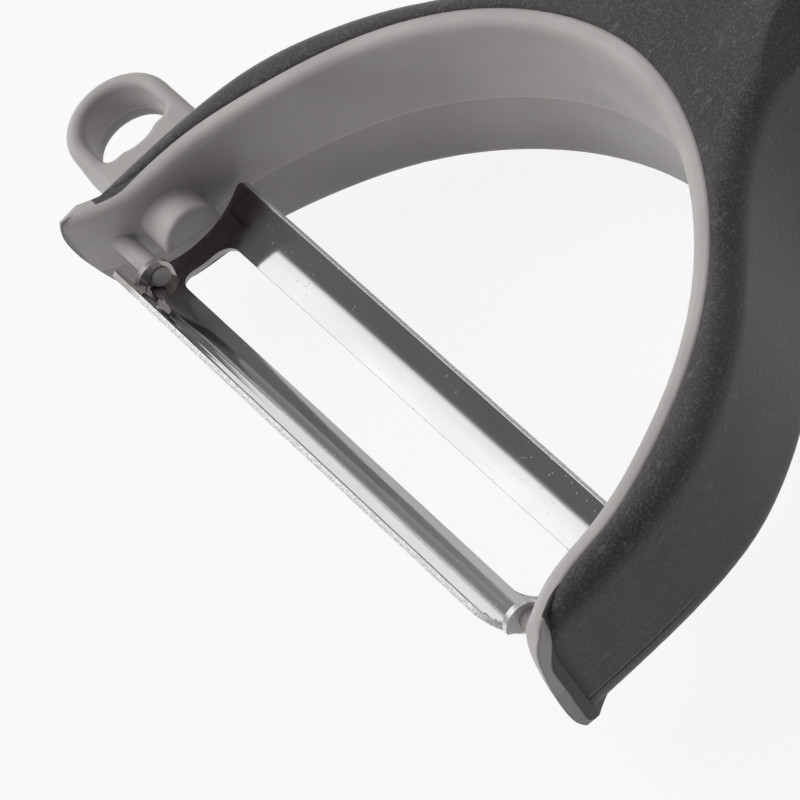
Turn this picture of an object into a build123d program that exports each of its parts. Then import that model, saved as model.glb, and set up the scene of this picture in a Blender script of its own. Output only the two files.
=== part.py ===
"""Swivel-blade vegetable peeler with a wide bow head.

Millimetres. The origin lies on the blade's front rail, midway between the arms, on the bow's mid plane.
X runs along the blade, Y from the blade toward the handle's end, and Z is square to the bow's plane.
"""
import math
import os

from build123d import *

os.makedirs("parts", exist_ok=True)

# Bow, seen in plan. The gap between the arms is 55 mm wide; the other places follow from it.
half_gap = 27.5
bow_height = 33.4
straight_end_y = 2.2

# Inner face along the arch: shares of the half gap, and how far back each place lies.
inner_x_shares = [0.9764, 0.9073, 0.7636, 0.5564, 0.2982]
inner_stations_y = [6.9, 13.6, 21.3, 27.5, 31.7]

# Front end of an arm: its inner face bends outward there. Measured outward from the straight inner face.
nose_shoulder = (0.85, 0.2)
nose_flank = (2.05, -1.75)
nose_tip = (3.1, -3.1)
nose_end = (3.25, -4.4)

# Front outline of each arm seen from the side, from its upper edge to its lower edge.
left_front = [
    (-2.2, 6.3),
    (-3.1, 5.2),
    (-3.45, 4.0),
    (-3.45, 2.6),
    (-3.3, 1.2),
    (-3.05, 0),
    (-2.7, -1.4),
    (-2.3, -2.6),
    (-1.5, -4.3),
    (-0.4, -6.3),
]
right_front = [
    (-0.1, 6.3),
    (-1.2, 5.3),
    (-2.0, 4.1),
    (-2.35, 2.9),
    (-2.57, 1.5),
    (-2.74, 0),
    (-2.82, -1.6),
    (-2.84, -3.2),
    (-2.72, -4.5),
    (-2.3, -5.5),
    (-1.5, -6.3),
]
front_cap = 1.4
front_reach = 5.2

# Outer face of an arm, measured outward from its inner face.
arm_stations = [(3.4, -1.2), (3.25, 4.5), (2.75, 10.5), (1.4, 16.2), (-1.3, 21.3)]

# Shoulders: shares of the half gap, and how far back each place lies.
shoulder_x_shares = [0.789, 0.596]
shoulder_stations_y = [26.8, 31.8]

# Handle, measured from its middle line.
handle_stations = [
    (12.3, 37.6),
    (10.0, 45.0),
    (9.3, 55.0),
    (9.9, 70.0),
    (10.6, 86.0),
    (10.1, 101.0),
    (7.4, 112.0),
]
handle_end_y = 118.0
side_overrun = 0.8

# Half thickness of the peeler, seen from the side.
side_stations = [
    (-4.5, 5.5),
    (1.0, 5.75),
    (11.0, 6.35),
    (21.0, 7.3),
    (31.0, 8.7),
    (41.0, 9.8),
    (52.0, 10.0),
    (68.0, 9.6),
    (86.0, 9.4),
    (102.0, 8.9),
    (113.0, 6.6),
]

# Rounding of the handle: ellipses that cut its four corners off, (y, half width, half height).
round_sections = [
    (24.0, 60.0, 30.0),
    (34.0, 24.0, 14.5),
    (43.0, 12.9, 12.2),
    (54.0, 10.1, 11.0),
    (70.0, 10.4, 10.2),
    (88.0, 11.1, 9.9),
    (103.0, 10.6, 9.5),
    (119.0, 7.4, 6.8),
]

# The hard core shows as a rim along the bow; the soft cover lies outside it.
core_thickness = 1.5
seam_samples = 14
rim_round = 0.8
cover_round = 1.8
core_bar_half_width = 4.0
core_bar_half_height = 3.5
core_bar_round = 1.5

# Hanging eye at the handle's end, lined with the core's own plastic.
hang_hole_radius = 3.2
hang_ring_wall = 1.4
hang_hole_y = 108.0

# Eye remover: a flat ring on the left arm's outer face. Its centre is measured from the arm's inner face.
loop_half_height = 2.25
loop_centre_out = 10.7
loop_centre_y = 6.5
loop_outer_radius = 4.7
loop_hole_radius = 3.2
loop_hole_flat = 2.75
loop_hole_corner = 0.9
loop_edge_round = 0.68
loop_root_depth = 0.3

# Catch that stops the blade, on the left arm's inner face.
catch_length = 3.5
catch_sink = 0.6
catch_centre_y = 3.9
catch_centre_z = 1.47
catch_radius = 2.5
catch_under_z = 1.19
catch_slope = 13.3
catch_round = 0.4

# Pivot of the blade and the studs of the core that carry it, one on each arm.
pivot_y = -0.18
pivot_z = 1.4
stud_radius = 0.82
stud_sink = 2.0
stud_chamfer = 0.15

# Blade: a trough of sheet steel with a circular section, level, measured from the pivot.
sheet = 0.5
blade_end_clearance = 1.7
blade_tilt = 8.4
trough_radius = 7.6
trough_half_angle = 52.0
trough_centre_y = 3.6
slot_edge_drop = 1.56
front_right_corner = 2.8
blade_corner = 0.8

# Slot with the two cutting edges, along the middle of the trough.
slot_end_margin = 2.2
slot_half_width = 2.43
slot_left_corner = 1.6
slot_right_corner = 2.35

# Tabs bent up from the trough's ends, each with a hole for a stud that passes right through it.
# The left tab stands in from the blade's end, beside a notch; the right tab stands at the very end.
left_tab_inset = 2.45
right_tab_inset = 0.5
stud_past_tab = 0.35
tab_centre_y = -0.42
tab_radius = 1.6
tab_notch_back = 0.9
pivot_clearance = 0.07


def mirrored(points):
    """The same stations on the other arm, in reverse order."""
    return [(-x, y) for x, y in reversed(points)]


def outward(points):
    """Stations measured outward from the right arm's inner face."""
    return [(half_gap + x, y) for x, y in points]


def across(shares, stations_y):
    """Stations at shares of the half gap."""
    return [(share * half_gap, y) for share, y in zip(shares, stations_y)]


def moved_back(front, distance):
    """An arm's front outline, moved toward the handle."""
    return [(y + distance, z) for y, z in front]


def closing_corners(front):
    """Corners that close a front outline ahead of the arm, from its lower end to its upper end."""
    return [front[-1], (-front_reach, front[-1][1]), (-front_reach, front[0][1]), front[0]]


def is_rim(edge, reach):
    """Whether an edge runs along the bow's inner face, around the arch."""
    return edge.length > 2 * reach and abs(edge.position_at(0.5).Y - bow_height) < core_thickness / 2


def is_outer_rim(edge):
    """Whether an edge is one of the four outer edges of the arms."""
    middle = edge.center()
    return edge.length > bow_height and abs(middle.X) > half_gap / 2


def tab_face(side):
    """How far a tab's inner face lies from the middle of the blade."""
    if side < 0:
        inset = left_tab_inset
    else:
        inset = right_tab_inset
    return half_gap - blade_end_clearance - inset


def stud_end(side):
    """Place of a pivot stud's free end along the blade."""
    return side * (tab_face(side) - stud_past_tab)


def is_stud_end(face):
    """Whether a face is the free end of a pivot stud."""
    middle = face.center().X
    return min(abs(middle - stud_end(side)) for side in (-1, 1)) < stud_chamfer


def offset_stations(edge, distance, shares):
    """Stations a set distance to the outer side of a plan curve."""
    found = []
    for share in shares:
        here = edge.position_at(share)
        along = edge.tangent_at(share)
        found.append((here.X + along.Y * distance, here.Y - along.X * distance))
    return found


nose_right = outward([nose_tip, nose_flank, nose_shoulder])
inner_right = nose_right + [(half_gap, straight_end_y)] + across(inner_x_shares, inner_stations_y)
seam_shares = [index / seam_samples / 2 for index in range(seam_samples)]

# Curves drawn once and used by several pieces.
with BuildLine() as inner_line:
    Spline(inner_right + [(0, bow_height)] + mirrored(inner_right))
seam_right = offset_stations(inner_line.edges()[0], core_thickness, seam_shares)
with BuildLine() as seam_line:
    Spline(seam_right + [(0, bow_height + core_thickness)] + mirrored(seam_right))

seam_start = seam_line.edges()[0].position_at(0)
below = -front_reach - bow_height

# Everything on the inner side of the seam between core and cover.
with BuildPart() as inside_seam:
    with BuildSketch(Plane.XY.offset(-bow_height)):
        with BuildLine():
            add(seam_line.edges()[0])
            Line(seam_line.edges()[0].position_at(1), (-seam_start.X, below))
            Line((-seam_start.X, below), (seam_start.X, below))
            Line((seam_start.X, below), (seam_start.X, seam_start.Y))
        make_face()
    extrude(amount=2 * bow_height)

# Ellipses lofted along the handle take its corners off; ahead of them nothing is cut.
first_y, first_wide, first_high = round_sections[0]
with BuildPart() as round_trim:
    for y, half_width, half_height in round_sections:
        with BuildSketch(Plane(origin=(0, y, 0), x_dir=(1, 0, 0), z_dir=(0, 1, 0))):
            Ellipse(half_width, half_height)
    loft()
    with Locations((0, first_y / 2 - bow_height / 2, 0)):
        Box(2 * first_wide, first_y + bow_height, 2 * first_high)

# Everything in front of the arms, and in front of the cover, which stops short of the arms' front ends.
with BuildPart() as ahead_of_arms:
    for front, side in ((left_front, -1), (right_front, 1)):
        with BuildSketch(Plane.YZ):
            with BuildLine():
                Spline(front)
                Polyline(closing_corners(front))
            make_face()
        extrude(amount=2 * side * half_gap)
with BuildPart() as ahead_of_cover:
    for front, side in ((left_front, -1), (right_front, 1)):
        with BuildSketch(Plane.YZ):
            with BuildLine():
                Spline(moved_back(front, front_cap))
                Polyline(closing_corners(moved_back(front, front_cap)))
            make_face()
        extrude(amount=2 * side * half_gap)

# The whole grip: its side view, cut by its plan and by the handle's rounding.
side_bottom = [(y, -z) for y, z in reversed(side_stations)]
shoulder_stations = across(shoulder_x_shares, shoulder_stations_y)
outer_stations = outward(arm_stations) + shoulder_stations + handle_stations
outer_all = outer_stations + [(0, handle_end_y)] + mirrored(outer_stations)
right_end = [nose_right[0], outward([nose_end])[0], outer_stations[0]]
with BuildPart() as grip_body:
    with BuildSketch(Plane.YZ.offset(-2 * half_gap)):
        with BuildLine():
            Spline(side_stations)
            Spline([side_stations[-1], (handle_end_y + side_overrun, 0), side_bottom[0]])
            Spline(side_bottom)
            Line(side_bottom[-1], side_stations[0])
        make_face()
    extrude(amount=4 * half_gap)
    with BuildSketch(Plane.XY.offset(-bow_height)):
        with BuildLine():
            add(inner_line.edges()[0])
            Polyline(right_end)
            Spline(outer_all)
            Polyline(mirrored(right_end))
        make_face()
    extrude(amount=2 * bow_height, mode=Mode.INTERSECT)
    add(round_trim.part, mode=Mode.INTERSECT)

# What lies outside the seam, with its outer edges rounded; the front end of it belongs to the core.
with BuildPart() as outer_shell:
    add(grip_body.part)
    add(inside_seam.part, mode=Mode.SUBTRACT)
    fillet(outer_shell.edges().filter_by(is_outer_rim), cover_round)
with BuildPart() as front_caps:
    add(outer_shell.part)
    add(ahead_of_cover.part, mode=Mode.INTERSECT)

# Round bar and ring inside the handle; the ring lines the hanging hole.
core_bar_start_y = bow_height
core_bar_end_y = hang_hole_y - hang_hole_radius
with BuildPart() as handle_core:
    with BuildSketch(Plane.XZ.offset(-core_bar_start_y)):
        RectangleRounded(2 * core_bar_half_width, 2 * core_bar_half_height, core_bar_round)
    extrude(amount=core_bar_start_y - core_bar_end_y)
    with BuildSketch(Plane.XY.offset(-bow_height)):
        with Locations((0, hang_hole_y)):
            Circle(hang_hole_radius + hang_ring_wall)
    extrude(amount=2 * bow_height)
    add(grip_body.part, mode=Mode.INTERSECT)

# Catch: rounded on top, with a flat sloping underside.
with BuildPart() as catch:
    with BuildSketch(Plane.YZ.offset(-half_gap - catch_sink)):
        with Locations((catch_centre_y, catch_centre_z)):
            Circle(catch_radius)
        with Locations((catch_centre_y, catch_centre_z - catch_radius / 2)):
            Rectangle(2 * catch_radius, catch_radius)
        with Locations(Location((catch_centre_y, catch_under_z), -catch_slope)):
            below_catch = (Align.CENTER, Align.MAX)
            Rectangle(4 * catch_radius, 2 * catch_radius, align=below_catch, mode=Mode.SUBTRACT)
    extrude(amount=catch_length + catch_sink)
    fillet(catch.faces().sort_by(Axis.X)[-1].edges(), catch_round)

# Eye remover with its flat-based hole.
loop_centre_x = -half_gap - loop_centre_out
loop_root_length = loop_centre_out - loop_root_depth
with BuildPart() as eye_remover:
    with BuildSketch(Plane.XY.offset(-loop_half_height)):
        with Locations((loop_centre_x, loop_centre_y)):
            Circle(loop_outer_radius)
            Rectangle(loop_root_length, 2 * loop_outer_radius, align=(Align.MIN, Align.CENTER))
    extrude(amount=2 * loop_half_height)
    with BuildSketch(Plane.XY.offset(-loop_half_height)) as hole:
        with Locations((loop_centre_x, loop_centre_y)):
            Circle(loop_hole_radius)
            Rectangle(loop_hole_flat, 2 * loop_hole_radius, align=(Align.MIN, Align.CENTER))
        fillet(hole.vertices().group_by(Axis.X)[-1], loop_hole_corner)
    extrude(amount=2 * loop_half_height, mode=Mode.SUBTRACT)
    by_height = eye_remover.edges().group_by(Axis.Z)
    fillet(by_height[-1] + by_height[0], loop_edge_round)

# Frame core: the rim and inner face of the bow with everything moulded on it.
with BuildPart() as frame_core:
    add(grip_body.part)
    add(inside_seam.part, mode=Mode.INTERSECT)
    fillet(frame_core.edges().filter_by(lambda edge: is_rim(edge, bow_height)), rim_round)
    add(front_caps.part)
    add(ahead_of_arms.part, mode=Mode.SUBTRACT)
    for side in (-1, 1):
        with BuildSketch(Plane.YZ.offset(stud_end(side))):
            with Locations((pivot_y, pivot_z)):
                Circle(stud_radius)
        extrude(amount=side * (half_gap + stud_sink) - stud_end(side))
    stud_ends = frame_core.faces().filter_by(Axis.X).filter_by(is_stud_end)
    chamfer(stud_ends.edges(), stud_chamfer)
    add(catch.part)
    add(eye_remover.part)
    add(handle_core.part)
    with BuildSketch(Plane.XY.offset(-bow_height)):
        with Locations((0, hang_hole_y)):
            Circle(hang_hole_radius)
    extrude(amount=2 * bow_height, mode=Mode.SUBTRACT)
frame_core.part.label = "frame_core"
export_step(frame_core.part, "parts/frame_core.step")
print("frame core", len(frame_core.solids()), round(frame_core.part.volume), frame_core.part.is_valid)

# Soft cover over the outer faces and the handle.
with BuildPart() as soft_grip_cover:
    add(outer_shell.part)
    add(ahead_of_cover.part, mode=Mode.SUBTRACT)
    add(frame_core.part, mode=Mode.SUBTRACT)
    with BuildSketch(Plane.XY.offset(-bow_height)):
        with Locations((0, hang_hole_y)):
            Circle(hang_hole_radius)
    extrude(amount=2 * bow_height, mode=Mode.SUBTRACT)
soft_grip_cover.part.label = "soft_grip_cover"
export_step(soft_grip_cover.part, "parts/soft_grip_cover.step")
cover_volume = round(soft_grip_cover.part.volume)
print("cover", len(soft_grip_cover.solids()), cover_volume, soft_grip_cover.part.is_valid)

# Blade, drawn level with the pivot at the origin.
trough_centre_z = (trough_radius**2 - slot_half_width**2) ** 0.5 - slot_edge_drop
trough_centre = (trough_centre_y, trough_centre_z)
blade_half_length = half_gap - blade_end_clearance
slot_half_length = blade_half_length - slot_end_margin
blade_width = 2 * (trough_radius + sheet) * math.sin(math.radians(trough_half_angle))
arc_start = -90 - trough_half_angle
with BuildPart() as swivel_blade:
    with BuildSketch(Plane.YZ.offset(-blade_half_length)):
        with BuildLine():
            under = CenterArc(trough_centre, trough_radius + sheet, arc_start, 2 * trough_half_angle)
            upper = CenterArc(trough_centre, trough_radius, arc_start, 2 * trough_half_angle)
            Line(under @ 0, upper @ 0)
            Line(under @ 1, upper @ 1)
        make_face()
    extrude(amount=2 * blade_half_length)
    with BuildSketch(Plane.XY.offset(-trough_radius)) as outline:
        with Locations((0, trough_centre_y)):
            Rectangle(2 * blade_half_length, blade_width)
        front_right = outline.vertices().group_by(Axis.Y)[0].sort_by(Axis.X)[-1]
        others = [corner for corner in outline.vertices() if corner != front_right]
        fillet(others, blade_corner)
        fillet(outline.vertices().group_by(Axis.Y)[0].sort_by(Axis.X)[-1], front_right_corner)
    extrude(amount=2 * trough_radius, mode=Mode.INTERSECT)
    with BuildSketch(Plane.XY.offset(-trough_radius)) as slot:
        with Locations((0, trough_centre_y)):
            Rectangle(2 * slot_half_length, 2 * slot_half_width)
        fillet(slot.vertices().group_by(Axis.X)[0], slot_left_corner)
        fillet(slot.vertices().group_by(Axis.X)[-1], slot_right_corner)
    extrude(amount=2 * trough_radius, mode=Mode.SUBTRACT)
    with BuildSketch(Plane.XY.offset(-trough_radius)):
        notch_width = tab_notch_back - tab_centre_y + tab_radius
        with Locations((-tab_face(-1) - sheet, tab_notch_back)):
            Rectangle(blade_half_length, notch_width, align=(Align.MAX, Align.MAX))
    extrude(amount=2 * trough_radius, mode=Mode.SUBTRACT)
    for side in (-1, 1):
        with BuildSketch(Plane.YZ.offset(side * tab_face(side))):
            with Locations((tab_centre_y, 0)):
                Circle(tab_radius)
                Rectangle(2 * tab_radius, 2 * tab_radius, align=(Align.CENTER, Align.MAX))
            with Locations(trough_centre):
                Circle(trough_radius + sheet, mode=Mode.INTERSECT)
            Circle(stud_radius + pivot_clearance, mode=Mode.SUBTRACT)
        extrude(amount=side * sheet)
swivel_blade.part = swivel_blade.part.rotate(Axis.X, -blade_tilt).translate((0, pivot_y, pivot_z))
swivel_blade.part.label = "swivel_blade"
export_step(swivel_blade.part, "parts/swivel_blade.step")
print("blade", len(swivel_blade.solids()), round(swivel_blade.part.volume), swivel_blade.part.is_valid)
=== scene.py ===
# %% [markdown]
# # A vegetable peeler with a swivelling blade
# The peeler has a wide bow of grey plastic, a soft dark cover over its outer faces and handle,
# and a slotted blade of thin sheet steel that swings between the arms of the bow.
# The exact solids come in as fixed nodes, and the cells below dress them, press a finer blade,
# and set up the camera, the floor and the light. Everything is in metres.

# %% Load the solids
import math

import bmesh
import bpy
from mathutils import Matrix, Vector


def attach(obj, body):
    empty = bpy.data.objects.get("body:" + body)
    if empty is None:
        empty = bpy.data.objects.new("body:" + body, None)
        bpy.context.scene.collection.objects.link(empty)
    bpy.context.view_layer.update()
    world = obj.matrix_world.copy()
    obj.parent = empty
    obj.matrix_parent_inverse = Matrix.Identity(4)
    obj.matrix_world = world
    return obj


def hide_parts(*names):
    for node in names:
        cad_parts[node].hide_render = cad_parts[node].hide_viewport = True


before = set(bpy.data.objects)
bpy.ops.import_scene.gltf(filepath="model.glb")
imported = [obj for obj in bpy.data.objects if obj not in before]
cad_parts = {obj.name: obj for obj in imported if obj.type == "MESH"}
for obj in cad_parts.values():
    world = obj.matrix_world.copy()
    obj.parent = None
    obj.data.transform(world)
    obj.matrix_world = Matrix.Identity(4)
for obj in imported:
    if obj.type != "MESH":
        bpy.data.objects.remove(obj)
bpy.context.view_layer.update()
MM = 0.001
print("nodes:", sorted(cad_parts))

# %% [markdown]
# ## Camera
# The head of the peeler is seen close up, from its right and from above, through a long lens.
# A long lens keeps the two rails of the blade almost parallel. The two directions below are the
# picture's right and its up. Their cross product points back to the camera, and the three
# together make its rotation.

# %% Camera
picture_right = Vector((0.556645, 0.728215, -0.399811))
picture_up = Vector((-0.50449, 0.678675, 0.533751))
camera_place = Vector((0.2853484, -0.0357836, 0.3208033))

camera_data = bpy.data.cameras.new("camera")
camera_data.sensor_width = 36
camera_data.lens = 263.2
camera_data.clip_start = 0.02
camera_data.clip_end = 20
camera = bpy.data.objects.new("camera", camera_data)
bpy.context.scene.collection.objects.link(camera)
turn = Matrix((picture_right, picture_up, picture_right.cross(picture_up))).transposed()
camera.matrix_world = Matrix.Translation(camera_place) @ turn.to_4x4()
bpy.context.scene.camera = camera
bpy.context.scene.view_settings.view_transform = "Standard"
print("camera distance in mm:", round(camera_place.length / MM))

# %% [markdown]
# ## Shader arithmetic
# A finish is a little sum: some grain, plus some wear, times a colour. The class below wraps
# a node's output so that such sums can be written with +, - and *. Its method named node makes
# any other shader node, with its settings first and its inputs after.

# %% Shader arithmetic
def plug(tree, socket, value):
    """Puts a number, a colour, a vector or another node's output into an input."""
    if isinstance(value, Flow):
        tree.links.new(value.out, socket)
    elif hasattr(value, "__len__") and len(value) == 3 and len(socket.default_value) == 4:
        socket.default_value = (*value, 1.0)
    else:
        socket.default_value = value


class Flow:
    """An output of a shader node that takes part in sums."""

    def __init__(self, tree, out):
        self.tree = tree
        self.out = out

    def node(self, kind, settings, inputs, output=0):
        """Makes a shader node with these settings and inputs, and wraps one of its outputs."""
        made = self.tree.nodes.new(kind)
        for name, value in settings.items():
            setattr(made, name, value)
        for name, value in inputs.items():
            plug(self.tree, made.inputs[name], value)
        return Flow(self.tree, made.outputs[output])

    def math(self, operation, *values):
        return self.node("ShaderNodeMath", {"operation": operation}, dict(enumerate(values)))

    def __add__(self, other):
        return self.math("ADD", self, other)

    def __radd__(self, other):
        return self.math("ADD", other, self)

    def __sub__(self, other):
        return self.math("SUBTRACT", self, other)

    def __rsub__(self, other):
        return self.math("SUBTRACT", other, self)

    def __mul__(self, other):
        return self.math("MULTIPLY", self, other)

    def __rmul__(self, other):
        return self.math("MULTIPLY", other, self)

    def __abs__(self):
        return self.math("ABSOLUTE", self)

    def ramp(self, low, high, start=0.0, end=1.0):
        """Goes smoothly from start to end while this output goes from low to high."""
        settings = {"interpolation_type": "SMOOTHSTEP"}
        inputs = {"Value": self, "From Min": low, "From Max": high, "To Min": start, "To Max": end}
        return self.node("ShaderNodeMapRange", settings, inputs)

    def near(self, value, reach):
        """1 where this output equals value, and 0 from reach away."""
        return abs(self - value).ramp(0.0, reach, 1.0, 0.0)

    def blend(self, first, second):
        """A colour that goes from first to second as this output goes from 0 to 1."""
        settings = {"data_type": "RGBA"}
        return self.node("ShaderNodeMix", settings, {0: self, 6: first, 7: second}, output=2)


# %% [markdown]
# Every finish of the peeler starts alike: a principled shader, and the place on the object in
# millimetres, so that grain and wear can be given their real sizes. The class below keeps those
# together and makes the patterns that all the finishes use. Real moulded and pressed edges are
# never quite sharp, so the relief can also make edges look rounded without changing the shape.

# %% A finish in millimetres
ROUNDING_SAMPLES = 6


class Finish:
    """A new material with a principled shader, and the object's own place in millimetres."""

    def __init__(self, name):
        self.material = bpy.data.materials.new(name)
        self.material.use_nodes = True
        self.tree = self.material.node_tree
        self.shader = self.tree.nodes["Principled BSDF"]
        start = Flow(self.tree, None)
        here = start.node("ShaderNodeTexCoord", {}, {}, output="Object")
        in_millimetres = {0: here, "Scale": 1 / MM}
        self.place = start.node("ShaderNodeVectorMath", {"operation": "SCALE"}, in_millimetres)
        split = start.node("ShaderNodeSeparateXYZ", {}, {0: self.place}).out.node
        self.x, self.y, self.z = [Flow(self.tree, out) for out in split.outputs]

    def noise(self, size, detail=2.0, roughness=0.5, place=None):
        """Smooth noise with blobs about as wide as size, in millimetres."""
        inputs = {"Vector": place or self.place, "Scale": 1 / size,
                  "Detail": detail, "Roughness": roughness}
        return self.place.node("ShaderNodeTexNoise", {}, inputs)

    def cells(self, size):
        """Distance to the nearest of many scattered points, in shares of size."""
        inputs = {"Vector": self.place, "Scale": 1 / size}
        return self.place.node("ShaderNodeTexVoronoi", {}, inputs)

    def stretch(self, x, y, z):
        """The place with each direction scaled by its own factor."""
        settings = {"operation": "MULTIPLY"}
        return self.place.node("ShaderNodeVectorMath", settings, {0: self.place, 1: (x, y, z)})

    def bump(self, height, depth, rounding=0.0):
        """Relief whose height is in millimetres times depth, on edges that look rounded."""
        inputs = {"Height": height, "Strength": 1.0, "Distance": depth * MM}
        if rounding:
            settings = {"samples": ROUNDING_SAMPLES}
            radius = {"Radius": rounding * MM}
            inputs["Normal"] = self.place.node("ShaderNodeBevel", settings, radius)
        return self.place.node("ShaderNodeBump", {}, inputs)

    def set(self, **values):
        """Sets the principled shader's inputs, whose names are written with _ for a space."""
        for name, value in values.items():
            plug(self.tree, self.shader.inputs[name.replace("_", " ")], value)


# %% [markdown]
# ## Grey plastic
# The bow, the catch, the studs and the eye remover are one moulding in satin grey plastic.
# Mouldings are never perfectly even: the colour drifts a little, the skin has a fine orange peel,
# and handling leaves pale specks. A faint line runs round the bow where the two mould halves met,
# and below that line the grey is darkened a little as painted shade, for the lower half that gets
# less light.

# %% Grey plastic
GREY = (0.325, 0.308, 0.301)
LIGHTER_GREY = (0.375, 0.358, 0.350)
LOWER_PAINTED_SHADE = (0.10, 0.09, 0.088)
PALE_SPECK = (0.55, 0.52, 0.50)
PARTING_DEPTH = 0.6
GREY_RELIEF = 0.035
GREY_ROUNDING = 0.55

plastic = Finish("grey plastic")
drift = plastic.noise(9.0, detail=3.0)
peel = plastic.noise(0.55, detail=3.0)
fine = plastic.noise(0.12, detail=2.0)
speck = plastic.cells(1.1).ramp(0.10, 0.04)
above_parting = plastic.z + plastic.noise(14.0) * 0.3 + PARTING_DEPTH
parting = above_parting.near(0.0, 0.16)
# painted shade: below the parting line the grey is darkened, for the lower half that gets less
# light
painted_shade_lower_half = above_parting.ramp(0.05, -0.15)

tone = drift.ramp(0.35, 0.65).blend(GREY, LIGHTER_GREY)
# the painted shade of the lower half is blended into the grey here
tone = (painted_shade_lower_half * 0.22).blend(tone, LOWER_PAINTED_SHADE)
tone = (speck * 0.25 + parting * 0.4).blend(tone, PALE_SPECK)
skin = peel * 0.16 + fine * 0.10 + 0.34
relief_grey = peel * 0.5 + fine * 0.25 + parting * 0.9
plastic.set(Base_Color=tone, Roughness=skin, IOR=1.49)
print("plastic nodes:", len(plastic.tree.nodes))

# %% [markdown]
# ## Soft cover
# A second, rubbery plastic is moulded over the handle and the outer faces. It is nearly black,
# with a fine grain that scatters light, so its edges never shine like the grey part's do. The
# same look is wanted twice, here and for the lip below, so it is worked out by a function.

# %% The look of the soft cover
BLACK = (0.027, 0.024, 0.027)
LIGHTER_BLACK = (0.040, 0.036, 0.039)
SCUFF_GREY = (0.17, 0.16, 0.17)


def rubber_look(finish):
    """Colour, roughness and relief of the soft cover, worked out in any finish."""
    grain = finish.noise(0.20, detail=3.0, roughness=0.6)
    cloud = finish.noise(7.0, detail=3.0)
    scuff = finish.noise(0.5, detail=3.0, place=finish.stretch(1.0, 0.35, 1.0)).ramp(0.60, 0.72)
    dust = finish.cells(0.8).ramp(0.12, 0.05) * finish.noise(0.9).ramp(0.45, 0.6)
    wear = grain.ramp(0.45, 0.75) * 0.45 + scuff * 0.25 + dust * 0.6
    colour = cloud.ramp(0.3, 0.7).blend(BLACK, LIGHTER_BLACK)
    colour = wear.blend(colour, SCUFF_GREY)
    return colour, grain * 0.2 + 0.46, grain + dust * 0.4 + scuff * 0.3


# %% [markdown]
# On the outer side of the right arm a fold runs along the cover. Its thin dark crease is painted
# shade, and the band below it is painted paler as painted light, for the bevelled face there that
# catches more light.
# How far a point is above the fold gives both.

# %% Soft cover and its fold
UNDER_FOLD_PAINTED_LIGHT = (0.17, 0.165, 0.165)
CREASE_PAINTED_SHADE = (0.018, 0.017, 0.018)
FOLD_DEPTH = 3.5
FOLD_SLOPE = 0.06
COVER_RELIEF = 0.045
COVER_ROUNDING = 1.2

cover = Finish("soft cover")
colour, roughness, relief = rubber_look(cover)
above_fold = cover.z + FOLD_DEPTH + cover.y * FOLD_SLOPE
right_arm = cover.x.ramp(27.0, 28.5) * cover.y.ramp(11.0, 8.0)
# painted shade: a thin dark line along the fold, which also cuts a groove into the relief
fold_with_painted_shade = above_fold.near(0.0, 0.17) * right_arm
# painted light: the cover below the fold is paler, for the bevelled face there that catches more
# light
painted_light_under_fold = above_fold.ramp(0.1, -0.1) * right_arm
colour = (painted_light_under_fold * 0.16).blend(colour, UNDER_FOLD_PAINTED_LIGHT)
colour = (fold_with_painted_shade * 0.45).blend(colour, CREASE_PAINTED_SHADE)
cover.set(Base_Color=colour, Roughness=roughness, IOR=1.5, Sheen_Weight=0.3, Sheen_Roughness=0.3)
cover.set(Normal=cover.bump(relief - fold_with_painted_shade * 3.0, COVER_RELIEF, rounding=COVER_ROUNDING))
print("cover nodes:", len(cover.tree.nodes))

# %% [markdown]
# The soft cover ends in a thin lip near the front of each arm. The lip is painted onto the grey
# moulding, on the outer side of the line that divides the two plastics. That line stands further
# out at the front of the arms than behind, and the lip starts behind the arms' front edge.

# %% Lip of the cover on the arm ends
DIVIDE_BEHIND = 28.97
DIVIDE_IN_FRONT = 31.0

outer_side = abs(plastic.x) - plastic.y.ramp(2.4, -2.7, DIVIDE_BEHIND, DIVIDE_IN_FRONT)
outer_side = outer_side + plastic.z.ramp(-2.0, -5.0, 0.0, 1.4)
outer_side = outer_side + plastic.x.ramp(-1.0, -2.0, 0.0, 0.45)
arm_front = plastic.z.ramp(6.0, 1.0, 0.0, -1.95) + plastic.z.ramp(-5.0, -6.5, 0.0, 0.9)
lip = outer_side.ramp(-0.03, 0.03) * (plastic.y - arm_front).ramp(-0.08, 0.08)
lip = lip * plastic.y.ramp(6.0, 5.5) * abs(plastic.x).ramp(33.5, 33.0)
lip_colour, lip_roughness, lip_relief = rubber_look(plastic)

arm_roughness = lip * (lip_roughness - skin) + skin
arm_relief = relief_grey + lip * (lip_relief - relief_grey)
plastic.set(Base_Color=lip.blend(tone, lip_colour), Roughness=arm_roughness)
plastic.set(Normal=plastic.bump(arm_relief, GREY_RELIEF, rounding=GREY_ROUNDING))
print("plastic nodes with the lip:", len(plastic.tree.nodes))

# %% [markdown]
# ## Blade steel
# The blade is polished sheet. Rolling leaves faint lines along it, the press leaves small pits,
# and the sheared edges are rougher and more broken in tone than the faces. The left end is painted
# a darker brown as painted shade, for the shaded arm that the steel reflects there.

# %% Blade steel
STEEL = (0.70, 0.70, 0.71)
PALER_STEEL = (0.78, 0.78, 0.79)
PAINTED_SHADE_BROWN = (0.20, 0.17, 0.155)
TORN_STEEL = (0.50, 0.50, 0.49)
SHINY_BURR = (0.88, 0.88, 0.87)
STEEL_RELIEF = 0.02

steel = Finish("blade steel")
lines = steel.noise(0.35, detail=4.0, roughness=0.6, place=steel.stretch(0.03, 1.0, 1.0))
smear = steel.noise(3.0, detail=3.0, place=steel.stretch(0.25, 1.0, 1.0))
burr = steel.noise(0.16, detail=3.0, roughness=0.7)
pits = steel.cells(0.55).ramp(0.11, 0.05) * smear.ramp(0.45, 0.6)
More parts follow.
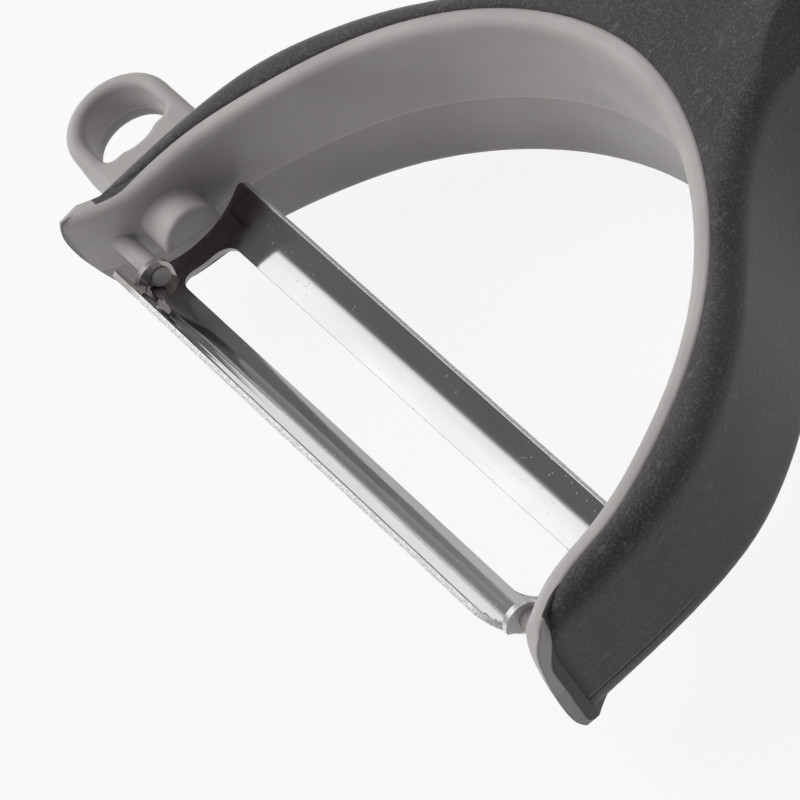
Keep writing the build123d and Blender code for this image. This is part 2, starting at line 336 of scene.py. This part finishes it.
# painted shade: the left end is darkened towards brown, for the shaded arm that the steel reflects
# there
painted_shade_left_end = (steel.x * -1 + smear * 3).ramp(22.0, 25.0)
sheared = steel.place.node("ShaderNodeAttribute", {"attribute_name": "sheared"}, {}, output="Fac")

tone = smear.ramp(0.3, 0.7).blend(STEEL, PALER_STEEL)
# the painted shade of the left end is blended into the steel here
tone = (painted_shade_left_end * 0.75).blend(tone, PAINTED_SHADE_BROWN)
edge_tone = burr.ramp(0.35, 0.65).blend(TORN_STEEL, SHINY_BURR)
# the painted shade also keeps the sheared edges at the left end, the left tab's among them, dark
tone = (sheared * (1 - painted_shade_left_end * 0.8)).blend(tone, edge_tone)
steel.set(Base_Color=tone, Metallic=1 - sheared * 0.7)
steel.set(Roughness=lines * 0.05 + 0.05 + pits * 0.35 + sheared * 0.3)
steel.set(Normal=steel.bump(lines * 0.15 + pits * 0.5 + sheared * burr * 1.6, STEEL_RELIEF))
print("steel nodes:", len(steel.tree.nodes))

# %% [markdown]
# ## Pressing the blade
# A real blade starts as a flat blank: the outline and the slot are punched out, and then the
# press bends the blank to a shallow trough. The mesh is made the same way. It is drawn flat,
# cut into narrow rows, given its thickness, and at last every point is wrapped round the trough.
# All of this is worked out in millimetres, about the axis on which the blade swings.

# %% Blade sizes
SHEET = 0.5
TROUGH_RADIUS = 7.85
TROUGH_CENTRE = (3.6, 5.641)
TROUGH_HALF_ANGLE = math.radians(52)
HALF_LENGTH = 25.8
HALF_WIDTH = TROUGH_RADIUS * TROUGH_HALF_ANGLE
SLOT_HALF_LENGTH = 23.6
SLOT_HALF_OPENING = 2.43
SLOT_HALF_WIDTH = TROUGH_RADIUS * math.asin(SLOT_HALF_OPENING / (TROUGH_RADIUS - SHEET / 2))
LEFT_TAB = -23.85
RIGHT_TAB = 25.27
print("blank in mm:", 2 * HALF_LENGTH, "by", round(2 * HALF_WIDTH, 2))

# %% [markdown]
# The outline and the slot are both rounded rectangles, each with its own radius at each corner.
# Bridging the two loops of edges leaves a flat sheet with a slot in it.

# %% Blank with its slot
CORNER_STEPS = 10
BLANK_CORNERS = (0.8, 0.8, 0.8, 3.0)
SLOT_CORNERS = (2.35, 1.6, 1.6, 2.35)


def rounded_sheet(bm, half_x, half_y, corners):
    """A flat face with its own radius at each corner.

    The corners come in the order back right, back left, front left, front right.
    """
    made = bmesh.ops.create_grid(bm, x_segments=1, y_segments=1, size=1.0)["verts"]
    bmesh.ops.scale(bm, vec=(half_x, half_y, 1.0), verts=made)
    spots = [(half_x, half_y), (-half_x, half_y), (-half_x, -half_y), (half_x, -half_y)]
    for (x, y), radius in zip(spots, corners):
        corner = min(bm.verts, key=lambda v: (v.co - Vector((x, y, 0))).length)
        bmesh.ops.bevel(bm, geom=[corner], offset=radius, segments=CORNER_STEPS, profile=0.5,
                        affect="VERTICES", material=-1)


blank = bmesh.new()
rounded_sheet(blank, HALF_LENGTH, HALF_WIDTH, BLANK_CORNERS)
hole = bmesh.new()
rounded_sheet(hole, SLOT_HALF_LENGTH, SLOT_HALF_WIDTH, SLOT_CORNERS)
hole_mesh = bpy.data.meshes.new("slot outline")
hole.to_mesh(hole_mesh)
hole.free()
blank.from_mesh(hole_mesh)
bpy.data.meshes.remove(hole_mesh)
bmesh.ops.delete(blank, geom=blank.faces[:], context="FACES_ONLY")
bmesh.ops.bridge_loops(blank, edges=blank.edges[:])
print("blank faces:", len(blank.faces))

# %% [markdown]
# The bridge leaves long faces that can't bend, so the blank is sliced by planes along its length.
# Slices across it also give the notch its corners. The notch is opened at the blank's left end,
# beside the place where the left tab stands up.

# %% Rows and notch
ROWS = 44
NOTCH = (-6.262, -2.757)
MERGE_DISTANCE = 0.002


def slice_at(bm, place, normal):
    """Cuts the mesh along a plane and keeps both sides."""
    everything = bm.verts[:] + bm.edges[:] + bm.faces[:]
    bmesh.ops.bisect_plane(bm, geom=everything, plane_co=place, plane_no=normal)


rows = [HALF_WIDTH * (2 * step / ROWS - 1) for step in range(1, ROWS)]
for row in rows + list(NOTCH):
    slice_at(blank, (0, row, 0), (0, 1, 0))
slice_at(blank, (LEFT_TAB, 0, 0), (1, 0, 0))
notched = []
for face in blank.faces:
    middle = face.calc_center_median()
    if middle.x < LEFT_TAB and NOTCH[0] < middle.y < NOTCH[1]:
        notched.append(face)
bmesh.ops.delete(blank, geom=notched, context="FACES")
bmesh.ops.remove_doubles(blank, verts=blank.verts[:], dist=MERGE_DISTANCE)
print("notch faces taken away:", len(notched))

# %% [markdown]
# The sheet gets its thickness while it is still flat. The new side walls are the sheared edges,
# so they are marked for the steel's rougher look before their corners are broken by a fine bevel.

# %% Thickness and broken edges
EDGE_BREAK = 0.07


def thicken(bm, sheared_share):
    """Gives a flat sheet its thickness, and marks its side walls with the share of sheared look."""
    grown = bmesh.ops.extrude_face_region(bm, geom=bm.faces[:])
    lifted = [item for item in grown["geom"] if isinstance(item, bmesh.types.BMVert)]
    bmesh.ops.translate(bm, vec=(0, 0, SHEET), verts=lifted)
    bmesh.ops.recalc_face_normals(bm, faces=bm.faces[:])
    sheared_layer = bm.faces.layers.float.new("sheared")
    for face in bm.faces:
        if abs(face.normal.z) < 0.5:
            face[sheared_layer] = sheared_share


thicken(blank, 1.0)
bmesh.ops.translate(blank, vec=(0, 0, -SHEET / 2), verts=blank.verts[:])
sharp = [edge for edge in blank.edges
         if len(edge.link_faces) == 2 and edge.calc_face_angle() > math.radians(60)
         and abs(edge.verts[0].co.z - edge.verts[1].co.z) < SHEET / 2]
bmesh.ops.bevel(blank, geom=sharp, offset=EDGE_BREAK, segments=2, profile=0.5,
                affect="EDGES", material=-1)
print("edges broken:", len(sharp))

# %% [markdown]
# The back of the trough is an even curve. The front rail is fuller: it starts flat beside the slot,
# turns up in its middle and runs out nearly straight to the rim. The list holds that curve as the
# place on the flat blank, the place along the bent sheet and the slope in degrees.

# %% The front rail's curve
FRONT_CURVE = [
    (0.0, 0.0, 0.0),
    (2.555, 2.555, 18.65),
    (3.43, 3.53, 26.1),
    (5.15, 5.45, 44.6),
    (7.124, 7.55, 53.2),
]
FRONT_WIDTH = FRONT_CURVE[-1][0]
BEND_STEPS = 90


def front_place(flat):
    """Where a place on the front half of the flat blank ends up, and the sheet's slope there."""
    for (flat_a, arc_a, slope_a), (flat_b, arc_b, slope_b) in zip(FRONT_CURVE, FRONT_CURVE[1:]):
        if flat <= flat_b or flat_b == FRONT_WIDTH:
            share = (flat - flat_a) / (flat_b - flat_a)
            return arc_a + share * (arc_b - arc_a), slope_a + share * (slope_b - slope_a)


front_path = []
out, up, last_arc = 0.0, 0.0, 0.0
for step in range(BEND_STEPS + 1):
    arc, slope = front_place(FRONT_WIDTH * step / BEND_STEPS)
    out += (arc - last_arc) * math.cos(math.radians(slope))
    up += (arc - last_arc) * math.sin(math.radians(slope))
    last_arc = arc
    front_path.append((out, up, math.radians(slope)))
print("front rim at", [round(value, 2) for value in front_path[-1]])

# %% [markdown]
# The press moves every point of the blank at once. Behind the middle a point goes round the even
# curve, and in front of it a point goes to the nearest two places of the front rail's curve.

# %% Bend the blank to the trough
def wrap(point):
    """Where a point of the flat blank lies on the bent sheet."""
    if point.y >= 0:
        angle = point.y / TROUGH_RADIUS
        reach = TROUGH_RADIUS - point.z
        y = TROUGH_CENTRE[0] + reach * math.sin(angle)
        z = TROUGH_CENTRE[1] - reach * math.cos(angle)
        return Vector((point.x, y, z))
    here = -point.y / FRONT_WIDTH * BEND_STEPS
    low = min(int(here), BEND_STEPS - 1)
    share = here - low
    out, up, slope = [a + share * (b - a) for a, b in zip(front_path[low], front_path[low + 1])]
    y = TROUGH_CENTRE[0] - out + point.z * math.sin(slope)
    z = TROUGH_CENTRE[1] - TROUGH_RADIUS + up + point.z * math.cos(slope)
    return Vector((point.x, y, z))


for vert in blank.verts:
    vert.co = wrap(vert.co)
heights = [vert.co.z for vert in blank.verts]
print("trough depth in mm:", round(max(heights) - min(heights), 2))

# %% [markdown]
# A tab stands near each end of the trough. It is a round-topped ear with a hole, and the bow's
# stud passes through the hole and lets the blade swing. Each ear starts as a flat ring. Its lower
# half is carried down to the trough's arc, and the right ear has a narrower foot in front.

# %% Tabs
TAB_CENTRE = -0.42
TAB_RADIUS = 1.6
HOLE_RADIUS = 0.89
TAB_STEPS = 48
TAB_SHEARED = 0.5
LEFT_FOOT = 1.0
RIGHT_FOOT = 0.2
STAND_UP = Matrix(((0, 0, 1, 0), (1, 0, 0, 0), (0, 1, 0, 0), (0, 0, 0, 1)))

for start, foot in ((LEFT_TAB, LEFT_FOOT), (RIGHT_TAB, RIGHT_FOOT)):
    ear = bmesh.new()
    bmesh.ops.create_circle(ear, segments=TAB_STEPS, radius=TAB_RADIUS)
    for vert in ear.verts:
        lower = vert.co.y < -0.01
        if lower and vert.co.x < 0:
            vert.co.x *= foot
        vert.co.x += TAB_CENTRE
        if lower:
            from_middle = vert.co.x - TROUGH_CENTRE[0]
            vert.co.y = TROUGH_CENTRE[1] - math.sqrt(TROUGH_RADIUS ** 2 - from_middle ** 2)
    bmesh.ops.create_circle(ear, segments=TAB_STEPS, radius=HOLE_RADIUS)
    bmesh.ops.bridge_loops(ear, edges=ear.edges[:])
    thicken(ear, TAB_SHEARED)
    bmesh.ops.transform(ear, matrix=STAND_UP, verts=ear.verts[:])
    bmesh.ops.translate(ear, vec=(start, 0, 0), verts=ear.verts[:])
    ear_mesh = bpy.data.meshes.new("tab")
    ear.to_mesh(ear_mesh)
    ear.free()
    blank.from_mesh(ear_mesh)
    bpy.data.meshes.remove(ear_mesh)
print("faces with the tabs:", len(blank.faces))

# %% [markdown]
# The finished pressing is turned a few degrees, to the way it hangs in the photograph, moved to
# the pivot and scaled to metres. It rides on the swinging body and stands for the plain solid
# blade, which is hidden. Faces that meet at a small angle are shaded as one smooth face.

# %% Put the blade in the bow
TILT = Matrix.Rotation(math.radians(-8.4), 4, "X")
PIVOT = Vector((0.0, -0.18, 1.4))
SMOOTH_BELOW = math.radians(35)

for vert in blank.verts:
    vert.co = (TILT @ vert.co + PIVOT) * MM
bmesh.ops.recalc_face_normals(blank, faces=blank.faces[:])
blade_mesh = bpy.data.meshes.new("pressed blade")
blank.to_mesh(blade_mesh)
blank.free()
blade = bpy.data.objects.new("pressed_blade", blade_mesh)
bpy.context.scene.collection.objects.link(blade)
blade_mesh.materials.append(steel.material)
blade_mesh.shade_smooth()
blade_mesh.set_sharp_from_angle(angle=SMOOTH_BELOW)
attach(blade, "blade")
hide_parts("swivel_blade")
print("blade triangles:", sum(len(face.vertices) - 2 for face in blade_mesh.polygons))

# %% [markdown]
# The grey moulding and its cover already have their exact shapes, so they stay as they came in.
# Each only gets its finish in place of the plain one.

# %% Dress the solids
for name, finish in (("frame_core", plastic), ("soft_grip_cover", cover)):
    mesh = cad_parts[name].data
    mesh.materials.clear()
    mesh.materials.append(finish.material)
    print(name, "is dressed in", finish.material.name)

# %% [markdown]
# ## Floor and light
# The peeler lies on plain white paper. The paper shows itself as white to the camera and to the
# steel, and keeps only part of its shading, so that the shadow under the peeler stays soft.

# %% Floor
PAPER_RADIUS = 3.0
PAPER_HEIGHT = -10.06 * MM

floor_mesh = bpy.data.meshes.new("paper")
paper = bmesh.new()
bmesh.ops.create_circle(paper, cap_ends=True, segments=96, radius=PAPER_RADIUS)
bmesh.ops.translate(paper, vec=(0, 0, PAPER_HEIGHT), verts=paper.verts[:])
paper.to_mesh(floor_mesh)
paper.free()
floor = bpy.data.objects.new("paper_floor", floor_mesh)
bpy.context.scene.collection.objects.link(floor)

# %% [markdown]
# Paper is white with faint fibres. A glowing share is mixed over its shaded surface, and only for
# the rays that come straight from the camera or by way of steel, so the paper lights nothing more.

# %% Paper
PAPER_WHITE = (0.62, 0.62, 0.62)
FIBRE_GREY = (0.58, 0.58, 0.58)
GLOW_SHARE = 0.87

white = Finish("paper")
tree = white.tree
fibre = white.noise(0.6, detail=4.0)
white.set(Base_Color=fibre.blend(FIBRE_GREY, PAPER_WHITE), Roughness=0.9)
rays = tree.nodes.new("ShaderNodeLightPath")
ray_kinds = ("Is Camera Ray", "Is Glossy Ray", "Is Transmission Ray")
from_camera, from_gloss, through_glass = [Flow(tree, rays.outputs[kind]) for kind in ray_kinds]
glow = white.place.node("ShaderNodeEmission", {}, {"Color": (1.0, 1.0, 1.0), "Strength": 1.0})
shaded = white.shader.outputs[0]
seen = white.place.math("MINIMUM", from_camera + from_gloss + through_glass, 1.0)
mixed = white.place.node("ShaderNodeMixShader", {}, {0: seen * GLOW_SHARE})
tree.links.new(shaded, mixed.out.node.inputs[1])
tree.links.new(glow.out, mixed.out.node.inputs[2])
tree.links.new(mixed.out, tree.nodes["Material Output"].inputs["Surface"])
floor_mesh.materials.append(white.material)
print("paper nodes:", len(tree.nodes))

# %% [markdown]
# A wide soft box stands on the left, half way up the sky, and a smaller one fills from the front.
# The side toward the camera gets no lamp at all. Both lamps are hidden from shiny surfaces.

# %% Lamps
def soft_box(name, place, width, height, power):
    """A rectangular lamp that faces the peeler."""
    lamp_data = bpy.data.lights.new(name, "AREA")
    lamp_data.shape = "RECTANGLE"
    lamp_data.size = width
    lamp_data.size_y = height
    lamp_data.energy = power
    lamp = bpy.data.objects.new(name, lamp_data)
    lamp.location = place
    lamp.rotation_euler = (-Vector(place)).to_track_quat("-Z", "Y").to_euler()
    lamp.visible_glossy = False
    bpy.context.scene.collection.objects.link(lamp)
    print(name, "gives", power, "watts")


soft_box("soft box left", (-0.66, -0.36, 0.67), width=0.9, height=0.5, power=7.5)
soft_box("soft box front", (-0.05, -1.0, 0.45), width=0.5, height=0.5, power=3.5)

# %% [markdown]
# Steel shows its surroundings. It doesn't see the lamps: it sees a plain dome, dark near the
# horizon and brighter overhead and behind the bow, with one pale window high on the left and
# a glow at the far left. These give the blade its light and dark bands.

# %% Dome
world = bpy.data.worlds.new("studio dome")
world.use_nodes = True
bpy.context.scene.world = world
backdrop = world.node_tree.nodes["Background"]
dome = Flow(world.node_tree, backdrop.outputs[0])
way = dome.node("ShaderNodeTexCoord", {}, {}, output="Generated")
split = dome.node("ShaderNodeSeparateXYZ", {}, {0: way}).out.node
right, back, height = [Flow(world.node_tree, out) for out in split.outputs]

overhead = height.ramp(0.45, 0.85, 0.13, 0.4)
behind = back.ramp(0.35, 0.75, 0.0, 0.42)
window = height.ramp(0.50, 0.56) * right.ramp(-0.3, -0.5) * back.ramp(0.15, 0.0)
left_glow = right.ramp(-0.72, -0.95)
shade = overhead + behind + window * 0.9 + left_glow
plug(world.node_tree, backdrop.inputs["Strength"], shade)
plug(world.node_tree, backdrop.inputs["Color"], (1.0, 1.0, 1.0))
print("dome nodes:", len(world.node_tree.nodes))
